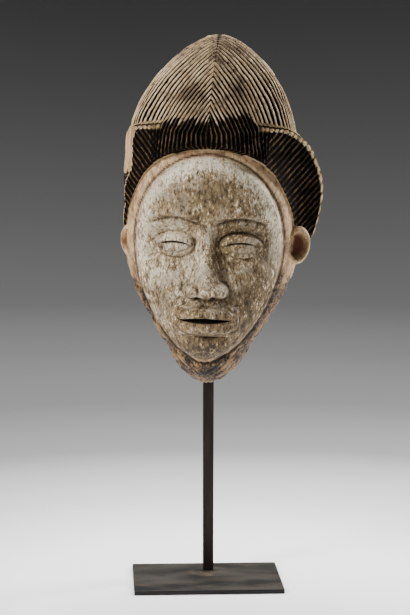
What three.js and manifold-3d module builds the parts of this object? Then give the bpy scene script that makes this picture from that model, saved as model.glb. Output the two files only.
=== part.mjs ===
// Carved wooden face mask with a high crested coiffure, held up by a square bar on a flat plate.
// Millimetres, +Z up, the mask looks along -Y, the plate's underside is at z = 0.
import * as THREE from 'three';
import { mergeVertices } from 'three/addons/utils/BufferGeometryUtils.js';
import Module from 'manifold-3d';

const wasm = await Module();
wasm.setup();

// Stand
const plateWidth = 142;
const plateDepth = 105;
const plateThickness = 4.2;
const barSide = 10;
const barToPlateBack = 24;
const barOffCentre = 2.8;
const hookReach = 34;
const hookLip = 8;
const gap = 0.3;
const seatClearance = 1;

// Mask as a whole
const maskHeight = 327;
const maskWidth = 209;
const maskDepth = 140;
const maskLift = 196;
const turn = THREE.MathUtils.degToRad(-6);
const lean = THREE.MathUtils.degToRad(1.4);

// Walls around the hollow behind the face
const rimWall = 11;
const faceWall = 15;
const chinWall = 14;
const crownWall = 30;

// Carving
const ridges = 34;
const ridgeDepth = 2;
const slitHalfWidth = 15;
const slitHeight = 2.6;
const mouthOpening = 5;
const mouthDepth = 9;

// Facets
const headRings = 50;
const headColumns = 48;
const hollowRings = 13;
const hollowColumns = 24;
const earRings = 9;
const earColumns = 16;

// The free forms are drawn for a mask of these sizes and follow the real ones in proportion.
const drawn = new THREE.Vector3(209, 140, 327);
const toSize = new THREE.Vector3(maskWidth, maskDepth, maskHeight).divide(drawn);
const wellOutside = 400;

const { clamp, lerp, smoothstep } = THREE.MathUtils;
const mix = (a, b, share) => a.map((value, i) => lerp(value, b[i], share));
const bell = (...offsets) => Math.exp(-offsets.reduce((sum, d) => sum + d * d, 0));
const dome = (value) => Math.sqrt(Math.max(0, 1 - value));

// Smooth curve through rows of [place, value, value, ...]
function through(rows, place) {
  const last = rows.length - 1;
  const above = rows.findIndex((row) => row[0] > place);
  const index = above < 0 ? last : Math.max(above, 1);
  const row = (i) => rows[clamp(i, 0, last)];
  const [before, from, to, after] = [row(index - 2), row(index - 1), row(index), row(index + 1)];
  const span = to[0] - from[0];
  const share = clamp((place - from[0]) / span, 0, 1);
  return from.slice(1).map((value, i) => {
    const slope = (a, b) => ((b[i + 1] - a[i + 1]) / (b[0] - a[0])) * span;
    const start = slope(before, to);
    const end = slope(from, after);
    const s2 = share * share;
    const s3 = s2 * share;
    return (2 * s3 - 3 * s2 + 1) * value + (s3 - 2 * s2 + share) * start
      + (3 * s2 - 2 * s3) * to[i + 1] + (s3 - s2) * end;
  });
}

// A sphere whose poles lie on the axis that turnPole gives, with each point moved by shape(point)
function moulded(columns, rings, turnPole, shape) {
  const ball = new THREE.SphereGeometry(1, columns, rings, Math.PI / 2).rotateX(turnPole);
  ball.deleteAttribute('normal');
  ball.deleteAttribute('uv');
  const body = mergeVertices(ball, 1e-5);
  const place = body.attributes.position;
  const point = new THREE.Vector3();
  for (let i = 0; i < place.count; i += 1) {
    point.fromBufferAttribute(place, i);
    place.setXYZ(i, ...shape(point.clone()));
  }
  return body;
}

function sideOf(x) {
  return Math.abs(x) < 1e-6 ? 0 : Math.sign(x);
}

function solid(geometry) {
  const plain = geometry.clone();
  plain.deleteAttribute('normal');
  plain.deleteAttribute('uv');
  const merged = mergeVertices(plain, 1e-4);
  return new wasm.Manifold(new wasm.Mesh({
    numProp: 3,
    vertProperties: new Float32Array(merged.attributes.position.array),
    triVerts: new Uint32Array(merged.index.array),
  }));
}

function geometryOf(body) {
  const mesh = body.getMesh();
  const geometry = new THREE.BufferGeometry();
  geometry.setAttribute('position', new THREE.BufferAttribute(mesh.vertProperties, 3));
  geometry.setIndex(new THREE.BufferAttribute(mesh.triVerts, 1));
  return geometry;
}

function box(low, high) {
  const size = high.map((value, i) => value - low[i]);
  const middle = high.map((value, i) => (value + low[i]) / 2);
  return new THREE.BoxGeometry(...size).translate(...middle);
}

// Coiffure: a fan of ridges over the brow, a high domed crest and a broad flap on each side.
// Every ridge runs from the parting over the dome to the flap's rim and in to the hairline.
// Rows start with a share of the way from the front of the parting to the nape.
const foldHeight = 248;
const crestRise = 79;
const crestCentre = -55;
const crestReach = 73;
const crestBack = 6;
const napeDrop = 25;
const crestDrift = 4.5;
const fanShare = 0.35;
const fanRise = 60;
const apexShare = 0.602;
const flapStart = 0.305;
const flapFull = 0.435;
const roundStart = 0.2;
const roundFull = 0.62;
const domeBulge = 1.5;
const domeFullness = 0.6;
const frontPole = [0, -125.5, 228.5];
const backPole = [0, 8, 262];
// The left flap is split off at brokenSide, and in front of breakDepth the split leans inward
const brokenSide = -82;
const breakDepth = -42;
const breakLean = 0.17;
// Where each ridge crosses the crown, so that they lie evenly on it: share of the ridges, share of the way
const ridgeSpread = [[0, 0], [0.3, 0.3], [0.5, 0.455], [0.72, 0.66], [1, 1]];
// Under the flap each ridge runs on towards the nape by this share of the way
const underSlant = 0.054;

// Foot of the dome: x, y, z
const domeFoot = [
  [0, 0, -127.8, 242], [0.17, 19, -124, 248], [0.35, 42, -108, 249], [0.48, 66, -84, 245],
  [0.61, 74, -58, 241], [0.76, 76, -42, 237], [0.91, 76, -20, 234], [1, 72, 6, 232],
];
// Outer edge of the flap: x, y, z
const rimEdge = [
  [0, 0, -127.2, 236], [0.17, 25, -124, 239], [0.35, 48.7, -106.5, 240], [0.48, 69.9, -80, 238],
  [0.61, 90, -56, 221.5], [0.76, 102, -40, 186], [0.91, 96.3, -28, 145], [1, 87, 6, 128],
];
// Hairline on the skin: x, y, z
const hairline = [
  [0, 0, -125, 228], [0.17, 25, -120.5, 223.5], [0.35, 48.5, -104, 212.5], [0.48, 56, -96, 205],
  [0.61, 63, -87, 196], [0.76, 76, -60, 166], [0.91, 80, -38, 140], [1, 81, 6, 122], [1.06, 81.5, 16, 114],
];
const rimThickness = [[0, 0], [0.315, 0], [0.36, 4], [0.48, 6.5], [0.61, 7.5], [0.91, 7], [1, 4]];
// Points along one side of a ring, counted from the parting
const stops = { foot: 8, rim: 9, edge: 10, hairline: 13, middle: 15 };
const crownCrowding = 1.8;
const rimSlant = [0.3, 0.85, 0.45];
const flapScoop = 16;

function crest(share) {
  if (share > apexShare) {
    const back = (share - apexShare) / (1 - apexShare);
    return [0, lerp(crestCentre, crestBack, back), foldHeight + crestRise - napeDrop * back * back];
  }
  const fan = Math.min(share / fanShare, 1);
  const late = clamp((share - fanShare) / (apexShare - fanShare), 0, 1);
  const angle = lerp(Math.asin((fanRise / crestRise) * fan), Math.PI / 2, late);
  return [0, crestCentre - crestReach * Math.cos(angle), foldHeight + crestRise * Math.sin(angle)];
}

function hairPoint(share, step) {
  const top = crest(share);
  const foot = through(domeFoot, share);
  const edge = through(rimEdge, share);
  const flap = smoothstep(share, flapStart, flapFull);
  const line = through(hairline, share + underSlant * flap);
  const round = smoothstep(share, roundStart, roundFull);
  const low = lerp(line[2], foot[2], round);
  const rise = top[2] - low;
  const fullness = lerp(1, domeFullness, round);
  const profile = (z) => (1 - clamp((z - low) / rise, 0, 1) ** domeBulge) ** fullness;
  const across = (z) => (foot[0] * profile(z)) / profile(foot[2]);
  if (step <= stops.foot) {
    const up = 1 - (step / stops.foot) ** crownCrowding;
    const z = lerp(foot[2], top[2], up);
    return [across(z), lerp(foot[1], top[1], up), z];
  }
  const edgePoint = mix([across(edge[2]), edge[1], edge[2]], edge, flap);
  const [thick] = through(rimThickness, share);
  const rim = mix(edgePoint, foot, 0.5 * (1 - flap)).map((value, i) => value + rimSlant[i] * thick);
  if (step <= stops.rim) {
    return mix(foot, rim, (step - stops.foot) / (stops.rim - stops.foot));
  }
  if (step <= stops.edge) {
    return mix(rim, edgePoint, (step - stops.rim) / (stops.edge - stops.rim));
  }
  if (step <= stops.hairline) {
    const inward = (step - stops.edge) / (stops.hairline - stops.edge);
    const [x, y, z] = mix(edgePoint, line, inward);
    const scoop = flapScoop * inward * (1 - inward) * flap;
    return [x - scoop / 2, y + scoop, z];
  }
  const insideHead = [0, lerp(-100, crestBack, share), 214];
  return mix(line, insideHead, (step - stops.hairline) / (stops.middle - stops.hairline));
}

// Each ridge has two rings, one raised and one sunk by half the ridge's depth
function hairBody() {
  const rings = ridges * 2;
  const steps = stops.middle;
  const places = [];
  const smooth = moulded(steps * 2, rings, Math.PI, (point) => {
    const down = Math.acos(clamp(-point.y, -1, 1)) / Math.PI;
    const around = Math.atan2(Math.abs(point.x), point.z) / Math.PI;
    const ring = Math.round(down * rings);
    const step = Math.round(around * steps * 1e4) / 1e4;
    const pole = ring === 0 || ring === rings;
    const [share] = through(ridgeSpread, ring / rings);
    places.push({ ring, step, share, pole });
    if (pole) return ring === 0 ? frontPole : backPole;
    const [x, y, z] = hairPoint(share, step);
    return [x * sideOf(point.x) + crestDrift * Math.max(0, (z - foldHeight) / crestRise), y, z];
  });
  smooth.computeVertexNormals();
  const place = smooth.attributes.position;
  const normal = smooth.attributes.normal;
  places.forEach(({ ring, step, share, pole }, i) => {
    if (pole || step > stops.hairline - 0.5 || step === 0) return;
    const onRim = step > stops.foot && step < stops.edge + 0.5 && share > fanShare;
    const depth = (ring % 2 ? 0.5 : -0.5) * ridgeDepth * (onRim ? 0.5 : 1);
    const along = new THREE.Vector3().fromBufferAttribute(normal, i).multiplyScalar(depth);
    place.setXYZ(i, place.getX(i) + along.x, place.getY(i) + along.y, place.getZ(i) + along.z);
  });
  return smooth;
}

// Head: level sections, rows of height, half width at the back rim, depth of the middle line
const headTop = 284;
const headRows = [
  [0, 8, 34], [4, 18, 56], [12, 26, 74], [27, 36, 92], [51, 50.5, 104], [74, 64.5, 109], [97, 75.5, 107],
  [115, 81, 104], [140, 84, 105], [165, 84, 113], [190, 82, 118], [215, 77, 115], [232, 69, 108],
  [250, 58, 92], [270, 38, 60], [headTop, 8, 10],
];
const sectionPower = 2.2;
const poleDepth = -30;
const behindBack = 8;
const frontTurn = 0.8 * Math.PI;
// Rings lie closer together over the features and at the rounded beard: share of rings, share of height
const ringLevels = [[0, 0], [0.03, 0.015], [0.1, 0.08], [0.8, 0.62], [0.93, 0.82], [1, 1]];

// Face near plain drawing-book proportions: three bands of about the same height from the hairline down.
// Features are soft bumps on the level sections, with their middles at x and z.
const face = { top: 216, middle: 140, bottom: 30, halfWidth: 67, raise: 4 };
const groove = { radius: 1.04, width: 0.03, depth: 1.5 };
const eye = { x: 30, z: 136, wide: 19, high: 11, rise: 7 };
const socket = { x: 30, z: 139, wide: 24, high: 16, rise: -6 };
const brow = { z: 163, arch: 9, half: 27, thick: 3.5, rise: 2.2, inner: 4, outer: 56, innerFade: 6, outerFade: 8 };
const nose = { top: 155, base: 90, rootHalf: 8, tipHalf: 13, rise: 22 };
const wing = { x: 11, z: 96, wide: 6, high: 6, rise: 9 };
const muzzle = { x: 0, z: 69, wide: 34, high: 24, rise: 5 };
const mouth = { z: 69, halfWidth: 24 };
const upperLip = { x: 0, z: 75, wide: 1e3, high: 5, rise: 6 };
const lowerLip = { x: 0, z: 62, wide: 1e3, high: 5.5, rise: 6 };
const chin = { x: 0, z: 43, wide: 17, high: 11, rise: 5 };
const cheek = { x: 44, z: 110, wide: 17, high: 20, rise: 3 };

const bump = (form, x, z) => form.rise * bell((x - form.x) / form.wide, (z - form.z) / form.high);

function ovalRadius(x, z) {
  const above = z > face.middle;
  const width = above ? 2 : 1.65;
  const end = above ? face.top : face.bottom;
  const drop = (z - face.middle) / (end - face.middle);
  return ((x / face.halfWidth) ** width + drop ** (above ? 2 : 1.95)) ** (1 / width);
}

function noseRise(x, z) {
  const down = clamp((nose.top - z) / (nose.top - nose.base), 0, 1);
  const half = lerp(nose.rootHalf, nose.tipHalf, down ** 2);
  return nose.rise * down ** 0.9 * smoothstep(z, nose.base - 3, nose.base + 5) * bell((x / half) ** 1.3);
}

function browRise(x, z) {
  const line = brow.z - brow.arch * ((x - eye.x) / brow.half) ** 2;
  const start = smoothstep(x, brow.inner, brow.inner + brow.innerFade);
  const end = 1 - smoothstep(x, brow.outer - brow.outerFade, brow.outer);
  return brow.rise * start * end * bell((z - line) / brow.thick);
}

function faceRelief(across, z) {
  const x = Math.abs(across);
  const radius = ovalRadius(x, z);
  const inside = 1 - smoothstep(radius, 0.93, 1.01);
  const edge = -groove.depth * bell((radius - groove.radius) / groove.width);
  const lid = eye.rise * dome(((x - eye.x) / eye.wide) ** 2 + ((z - eye.z) / eye.high) ** 2);
  const lips = dome((x / (mouth.halfWidth + 2)) ** 2) * (bump(upperLip, x, z) + bump(lowerLip, x, z));
  const soft = [socket, wing, muzzle, chin, cheek].reduce((sum, form) => sum + bump(form, x, z), 0);
  return edge + inside * (face.raise + soft + lid + lips + browRise(x, z) + noseRise(x, z));
}

function levelSection(z, angle, inset, relief) {
  const [halfWidth, depth] = through(headRows, z);
  const wide = Math.max(halfWidth - inset[0], 1);
  const deep = Math.max(depth - inset[1], 1);
  const x = wide * Math.sin(angle) ** (2 / sectionPower);
  const y = -deep * Math.cos(angle) ** (2 / sectionPower);
  const slope = sectionPower - 1;
  const normal = new THREE.Vector2((x / wide) ** slope / wide, -((-y / deep) ** slope) / deep).normalize();
  const out = relief ? faceRelief(x, z) : 0;
  return [x + normal.x * out, y + normal.y * out];
}

// The head, or the hollow inside it: its front is carved, and its back closes flat behind the back plane
function headForm({ columns, rings, low, high, inset, domed, relief }) {
  return moulded(columns, rings, Math.PI / 2, (point) => {
    const up = 1 - Math.acos(clamp(point.z, -1, 1)) / Math.PI;
    const [level] = relief ? through(ringLevels, up) : [up];
    const z = lerp(low, high, level);
    if (up < 1e-6 || up > 1 - 1e-6) return [0, poleDepth, z];
    const angle = Math.atan2(Math.abs(point.x), -point.y);
    const side = sideOf(point.x);
    const close = domed ? (1 - Math.abs(2 * up - 1) ** 5) ** 0.4 : 1;
    if (angle <= frontTurn + 1e-6) {
      const part = clamp(angle / frontTurn, 0, 1) ** 1.4 * (Math.PI / 2);
      const [x, y] = levelSection(z, part, inset, relief);
      return [x * side * close, y * close, z];
    }
    const behind = (angle - frontTurn) / (Math.PI - frontTurn);
    const [wide] = levelSection(z, Math.PI / 2, inset, false);
    return [wide * side * close * (1 - behind), behindBack, z];
  });
}

// Ears: flat shells facing forward, each with a sunk bowl; the left one is worn narrow
const earPlace = [81.5, -46, 134];
const earThick = 7;
const earBowl = 9;
const earTurn = 0.45;
const earLean = 0.12;
const rightEar = { side: 1, reach: 13, height: 18, wear: 1, inward: 0 };
const leftEar = { side: -1, reach: 13, height: 17, wear: 0.8, inward: 9 };

function ear({ side, reach, height, wear, inward }) {
  const shell = moulded(earColumns, earRings, Math.PI / 2, (point) => {
    const bowl = point.y < 0 ? 1 - smoothstep(Math.hypot(point.x, point.z), 0.35, 0.8) : 0;
    return [point.x * reach, (point.y * earThick + bowl * earBowl) * wear, point.z * height];
  });
  return shell.rotateZ(side * earTurn).rotateY(side * earLean)
    .translate(side * (earPlace[0] - inward), earPlace[1], earPlace[2]);
}

// A lens-shaped cut with pointed ends, arched upwards, from y = near to y = far
function slit(halfWidth, arch, opening, near, far) {
  const outline = new THREE.Shape();
  outline.moveTo(-halfWidth, 0);
  outline.quadraticCurveTo(0, 2 * arch + opening, halfWidth, 0);
  outline.quadraticCurveTo(0, 2 * arch - opening, -halfWidth, 0);
  const cut = new THREE.ExtrudeGeometry(outline, { depth: far - near, bevelEnabled: false, curveSegments: 8 });
  return cut.rotateX(Math.PI / 2).translate(0, far, 0);
}

// What is split off the left flap
function brokenAway() {
  const outline = new THREE.Shape();
  outline.moveTo(-wellOutside, wellOutside);
  outline.lineTo(-wellOutside, -wellOutside);
  outline.lineTo(brokenSide + breakLean * (wellOutside + breakDepth), -wellOutside);
  outline.lineTo(brokenSide, breakDepth);
  outline.lineTo(brokenSide, wellOutside);
  return new THREE.ExtrudeGeometry(outline, { depth: wellOutside, bevelEnabled: false });
}

const hollowLow = chinWall / toSize.z;
const hollowHigh = headTop - crownWall / toSize.z;

function maskGeometry() {
  const behind = solid(box([-wellOutside, 0, -wellOutside], [wellOutside, wellOutside, wellOutside]));
  const broken = solid(brokenAway());
  const hair = solid(hairBody()).subtract(broken);
  const head = solid(headForm({
    columns: headColumns, rings: headRings, low: 0, high: headTop, inset: [0, 0], domed: false, relief: true,
  }));
  const hollow = solid(headForm({
    columns: hollowColumns, rings: hollowRings, low: hollowLow, high: hollowHigh,
    inset: [rimWall / toSize.x, faceWall / toSize.y], domed: true, relief: false,
  }));
  let body = hair.add(head).add(solid(ear(rightEar))).add(solid(ear(leftEar))).subtract(hollow);
  const [, eyeDepth] = through(headRows, eye.z);
  for (const side of [-1, 1]) {
    const eyeCut = slit(slitHalfWidth, 3, slitHeight, -2 * eyeDepth, -eyeDepth / 2);
    body = body.subtract(solid(eyeCut.translate(side * eye.x, 0, eye.z)));
  }
  const [, mouthFace] = through(headRows, mouth.z);
  const lips = -(mouthFace + face.raise + muzzle.rise + upperLip.rise / 2);
  const mouthCut = slit(mouth.halfWidth, 0, mouthOpening, 2 * lips, lips + mouthDepth);
  body = body.subtract(solid(mouthCut.translate(0, 0, mouth.z))).subtract(behind);
  return geometryOf(body).scale(toSize.x, toSize.y, toSize.z);
}

// Square bar with a short arm forward under the hollow's ceiling and an upturned lip
function barGeometry(top) {
  const half = barSide / 2;
  const side = new THREE.Shape();
  side.moveTo(-half, plateThickness + gap);
  side.lineTo(half, plateThickness + gap);
  side.lineTo(half, top - half);
  side.quadraticCurveTo(half, top, 0, top);
  side.lineTo(-hookReach + half, top);
  side.lineTo(-hookReach + half, top + hookLip);
  side.lineTo(-hookReach, top + hookLip);
  side.lineTo(-hookReach, top - barSide);
  side.lineTo(-half, top - barSide);
  side.closePath();
  const bar = new THREE.ExtrudeGeometry(side, { depth: barSide, bevelEnabled: false, curveSegments: 6 });
  return bar.rotateX(Math.PI / 2).rotateZ(Math.PI / 2).translate(-half, 0, 0);
}

const wood = new THREE.MeshStandardMaterial({ color: 0x8a7660, roughness: 0.85, metalness: 0 });
const barSteel = new THREE.MeshStandardMaterial({ color: 0x2a2422, roughness: 0.5, metalness: 0.8 });
const plateSteel = new THREE.MeshStandardMaterial({ color: 0x55504a, roughness: 0.45, metalness: 0.8 });

function named(name, geometry, material) {
  const mesh = new THREE.Mesh(geometry, material);
  mesh.name = name;
  return mesh;
}

const part = new THREE.Group();

const plate = named('stand_base', new THREE.BoxGeometry(plateWidth, plateDepth, plateThickness), plateSteel);
plate.position.set(-barOffCentre, barToPlateBack - plateDepth / 2, plateThickness / 2);
part.add(plate);

// The arm carries the mask where the hollow's ceiling meets the back plane
const ceilingRing = lerp(hollowHigh, hollowLow, 1 / hollowRings);
const ceilingEdge = lerp(hollowHigh, ceilingRing, -poleDepth / (behindBack - poleDepth));
part.add(named('stand_rod', barGeometry(maskLift + ceilingEdge * toSize.z - seatClearance), barSteel));

const leaning = new THREE.Group();
leaning.rotation.y = lean;
leaning.add(named('mask', maskGeometry(), wood));
const turning = new THREE.Group();
turning.rotation.z = turn;
turning.position.set(0, -barSide / 2 - gap - (barSide / 2) * Math.tan(Math.abs(turn)), maskLift);
turning.add(leaning);
part.add(turning);

part.updateMatrixWorld(true);
const bounds = new THREE.Box3().setFromObject(part, true);
const middle = bounds.getCenter(new THREE.Vector3());
part.position.set(-middle.x, -middle.y, -bounds.min.z);
part.updateMatrixWorld(true);

export default part;
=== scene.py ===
"""Looks of the carved wooden mask on its steel bar and plate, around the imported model.

The mask is drawn in millimetres in its own frame: +Z up, looking along -Y, its flat back at y = 0 and
its chin at z = 0. Then it is placed on the bar, in metres.
"""
import math

import bmesh
import bpy
import numpy as np
from mathutils import Matrix, Vector, noise


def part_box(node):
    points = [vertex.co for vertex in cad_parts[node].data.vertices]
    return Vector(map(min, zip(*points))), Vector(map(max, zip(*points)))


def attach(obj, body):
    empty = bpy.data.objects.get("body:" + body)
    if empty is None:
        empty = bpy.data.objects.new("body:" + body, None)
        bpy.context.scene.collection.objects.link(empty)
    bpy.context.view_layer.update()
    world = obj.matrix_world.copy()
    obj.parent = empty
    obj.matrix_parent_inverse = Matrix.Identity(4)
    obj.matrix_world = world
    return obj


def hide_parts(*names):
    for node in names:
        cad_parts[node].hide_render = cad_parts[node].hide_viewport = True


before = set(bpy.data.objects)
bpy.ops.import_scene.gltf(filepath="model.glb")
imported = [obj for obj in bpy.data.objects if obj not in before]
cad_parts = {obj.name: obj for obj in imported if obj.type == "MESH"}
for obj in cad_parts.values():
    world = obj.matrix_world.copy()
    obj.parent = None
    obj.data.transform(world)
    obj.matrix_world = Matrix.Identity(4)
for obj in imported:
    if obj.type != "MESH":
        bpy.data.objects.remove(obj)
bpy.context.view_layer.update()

# Place of the mask on its bar
BAR_SIDE = 0.010
BAR_GAP = 0.0003
PLATE_ROUNDING = 0.0007
SCUFFS_BEFORE_BAR = 0.006
MASK_LIFT = 0.196
MASK_TURN = math.radians(-6)
MASK_LEAN = math.radians(1.4)

# Fineness of the meshes
RINGS_PER_RIDGE = 8
HEAD_RINGS = 236
HEAD_COLUMNS = 220
HOLLOW_RINGS = 40
HOLLOW_COLUMNS = 64
CREASE_ANGLE = math.radians(55)

# Coiffure, the same form as the solid
RIDGES = 34
FOLD_HEIGHT = 248
CREST_RISE = 79
CREST_CENTRE = -55
CREST_REACH = 73
CREST_BACK = 6
NAPE_DROP = 25
CREST_DRIFT = 4.5
FAN_SHARE = 0.35
FAN_RISE = 60
APEX_SHARE = 0.602
FLAP_START, FLAP_FULL = 0.305, 0.435
ROUND_START, ROUND_FULL = 0.2, 0.62
DOME_BULGE = 1.5
DOME_FULLNESS = 0.6
FRONT_POLE = (0, -125.5, 228.5)
BACK_POLE = (0, 8, 262)
BROKEN_SIDE = -82
BREAK_DEPTH = -42
BREAK_LEAN = 0.32
BREAK_LEAN_BELOW = 0.45
BREAK_LEAN_FROM, BREAK_LEAN_TO = 180, 205
PALE_BREAK_Z = 197
UNDER_SLANT = 0.054
CROWN_CROWDING = 1.8
RIM_SLANT = np.array([0.3, 0.85, 0.45])
FLAP_SCOOP = 16
SPLIT_CUTS, SPLIT_WAVINESS = 90, 1.2
CORE_FRONT, CORE_HEIGHT = -100, 214
# Points along one side of a ring, counted from the parting
FOOT, RIM, EDGE, HAIRLINE, MIDDLE = 8, 9, 10, 13, 15
# Columns of the mesh that each of these stretches takes on one side
COLUMN_STOPS = [0, 34, 44, 48, 72, 75]

# Where the ridges lie: share of them passed, share of the way back
RIDGE_SPREAD = [(0, 0), (0.3, 0.3), (0.5, 0.455), (0.72, 0.66), (1, 1)]
# Lines of the right side, as rows of share of the way back, x, y and z
DOME_FOOT = [
    (0, 0, -127.8, 242), (0.17, 19, -124, 248), (0.35, 42, -108, 249), (0.48, 66, -84, 245),
    (0.61, 74, -58, 241), (0.76, 76, -42, 237), (0.91, 76, -20, 234), (1, 72, 6, 232),
]
RIM_EDGE = [
    (0, 0, -127.2, 236), (0.17, 25, -124, 239), (0.35, 48.7, -106.5, 240), (0.48, 69.9, -80, 238),
    (0.61, 90, -56, 221.5), (0.76, 102, -40, 186), (0.91, 96.3, -28, 145), (1, 87, 6, 128),
]
HAIR_LINE = [
    (0, 0, -125, 228), (0.17, 25, -120.5, 223.5), (0.35, 48.5, -104, 212.5), (0.48, 56, -96, 205),
    (0.61, 63, -87, 196), (0.76, 76, -60, 166), (0.91, 80, -38, 140), (1, 81, 6, 122), (1.06, 81.5, 16, 114),
]
# Share of the way back, thickness of the flap's rim
RIM_THICKNESS = [(0, 0), (0.315, 0), (0.36, 4), (0.48, 6.5), (0.61, 7.5), (0.91, 7), (1, 4)]

RIDGE_DEPTH = 2.8
RIDGE_ROUNDNESS = 1.6
UNDER_DEPTH = 1.5
UNDER_SPACING = 4.4
UNDER_SLOPE = math.radians(50)
PARTING_DEPTH = 1.2

# Head, the same form as the solid
HEAD_TOP = 284
# Height, half width, depth
HEAD_ROWS = [
    (0, 8, 34), (4, 18, 56), (12, 26, 74), (27, 36, 92), (51, 50.5, 104), (74, 64.5, 109), (97, 75.5, 107),
    (115, 81, 104), (140, 84, 105), (165, 84, 113), (190, 82, 118), (215, 77, 115), (232, 69, 108),
    (250, 58, 92), (270, 38, 60), (HEAD_TOP, 8, 10),
]
SECTION_POWER = 2.2
POLE_DEPTH = -30
BEHIND_BACK = 8
FRONT_TURN = 0.8 * math.pi
# Share of the rings, share of the height
RING_LEVELS = [(0, 0), (0.03, 0.015), (0.1, 0.08), (0.8, 0.64), (0.93, 0.82), (1, 1)]
RIM_WALL = 11
FACE_WALL = 15
CHIN_WALL = 14
CROWN_WALL = 30

# Face near plain drawing-book proportions: three bands of about the same height from the hairline down
FACE_TOP, FACE_MIDDLE, FACE_BOTTOM = 216, 140, 30
FACE_HALF_WIDTH = 67
FACE_RAISE = 4
OVAL_ABOVE, OVAL_BELOW, OVAL_DROP = 2, 1.65, 1.95
EYE_X, EYE_Z = 30, 136
EYE_WIDE, EYE_HIGH, EYE_RISE = 19, 11, 7
SLIT_HALF, SLIT_ARCH, SLIT_OPENING = 15, 3, 2.2
BROW_Z, BROW_ARCH, BROW_HALF = 163, 9, 27
NOSE_TOP, NOSE_BASE, NOSE_RISE = 155, 90, 22
MOUTH_Z, MOUTH_HALF = 69, 24
MOUTH_OPENING, MOUTH_DEPTH = 5.4, 9
CHIN_Z = 43
LOWER_LID_DROP = 6.6
LIP_REACH = 12
LENS_STEPS = 24
BEARD_TOP_FROM, BEARD_TOP_TO = 98, 112
BEARD_CUT_SPACING = 4.6

# What a point has where its own mesh doesn't say: dark hair, skin outside the white oval, and a line value
# that darkens face points taken at a cut as painted shade
USUAL_VALUES = {
    "groove": 1, "dark": 1, "rim": 0, "worn": 0,
    "oval": 1.3, "beard": 0, "beard_cut": 0, "line": 0.7, "bare": 0, "bowl": 0,
}

# Ears: place of an unworn one, then each one's side, reach, height, wear and way inward
EAR_PLACE = (81.5, -46, 134)
EAR_COLUMNS, EAR_RINGS = 48, 32
EAR_THICKNESS, EAR_BOWL_DEPTH = 7, 10
EAR_TILT, EAR_TURN = 0.12, 0.45
EARS = [(1, 13, 18, 1.0, 0), (-1, 13, 17, 0.8, 9)]


def lerp(a, b, share):
    return a + (b - a) * share


def smooth(value, low, high):
    share = np.clip((np.asarray(value, float) - low) / (high - low), 0, 1)
    return share * share * (3 - 2 * share)


def bell(*offsets):
    return np.exp(-sum(np.square(offset) for offset in offsets))


def dome(value):
    return np.sqrt(np.clip(1 - value, 0, 1))


def crest_wave(phase, roundness):
    """1 on the crest in the middle of each whole step of phase, and 0 in the groove between two steps."""
    return 1 - np.abs(2 * (phase % 1) - 1) ** roundness


def through(rows, place):
    """Smooth curve through rows of (place, value, value, ...): one array of results for each value."""
    rows = np.array(rows, float)
    place = np.asarray(place, float)
    at = np.clip(np.searchsorted(rows[:, 0], place, side="right"), 1, len(rows) - 1)
    before, start, end, after = (rows[np.clip(at + i, 0, len(rows) - 1)] for i in (-2, -1, 0, 1))
    span = end[..., :1] - start[..., :1]
    t = np.clip((place[..., None] - start[..., :1]) / span, 0, 1)
    leave = (end - before) / (end[..., :1] - before[..., :1]) * span
    arrive = (after - start) / (after[..., :1] - start[..., :1]) * span
    curve = ((2 * t**3 - 3 * t**2 + 1) * start + (t**3 - 2 * t**2 + t) * leave
             + (3 * t**2 - 2 * t**3) * end + (t**3 - t**2) * arrive)
    return np.moveaxis(curve[..., 1:], -1, 0)


def grain(points, size, seed=0):
    """Smooth noise between about -1 and 1 with waves of this size, at an array of points."""
    offset = Vector((seed * 7.3, seed * 3.1, seed * 5.7))
    return np.array([noise.noise(Vector(point) / size + offset) for point in points])


def ball(name, columns, rings):
    """A unit sphere with its poles on Z and its first column on +X, and its vertices as an array."""
    shape = bmesh.new()
    bmesh.ops.create_uvsphere(shape, u_segments=columns, v_segments=rings, radius=1)
    mesh = bpy.data.meshes.new(name)
    shape.to_mesh(mesh)
    shape.free()
    return mesh, points_of(mesh)


def points_of(mesh):
    points = np.empty(len(mesh.vertices) * 3, np.float32)
    mesh.vertices.foreach_get("co", points)
    return points.reshape(-1, 3).astype(float)


def normals_of(mesh):
    normals = np.empty(len(mesh.vertices) * 3, np.float32)
    mesh.vertices.foreach_get("normal", normals)
    return normals.reshape(-1, 3).astype(float)


def move_points(mesh, points):
    mesh.vertices.foreach_set("co", points.astype(np.float32).ravel())
    mesh.update()


def as_object(mesh):
    made = bpy.data.objects.new(mesh.name, mesh)
    bpy.context.scene.collection.objects.link(made)
    return made


def keep_value(mesh, name, values):
    layer = mesh.attributes.get(name) or mesh.attributes.new(name, "FLOAT", "POINT")
    layer.data.foreach_set("value", values.astype(np.float32))


def fill_missing(mesh):
    """Gives a mesh every value that it lacks, because the points of a cut take theirs from either mesh."""
    for name, value in USUAL_VALUES.items():
        if name not in mesh.attributes:
            keep_value(mesh, name, np.full(len(mesh.vertices), value))


def crest(share):
    """The crown's middle line: y and z at a share of the way from the front of the parting to the nape."""
    back = np.clip((share - APEX_SHARE) / (1 - APEX_SHARE), 0, 1)
    fan = np.minimum(share / FAN_SHARE, 1)
    late = np.clip((share - FAN_SHARE) / (APEX_SHARE - FAN_SHARE), 0, 1)
    angle = lerp(np.arcsin(FAN_RISE / CREST_RISE * fan), np.pi / 2, late)
    front_y = CREST_CENTRE - CREST_REACH * np.cos(angle)
    y = np.where(share > APEX_SHARE, lerp(CREST_CENTRE, CREST_BACK, back), front_y)
    return y, FOLD_HEIGHT + CREST_RISE * np.sin(angle) - NAPE_DROP * back**2


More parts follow.
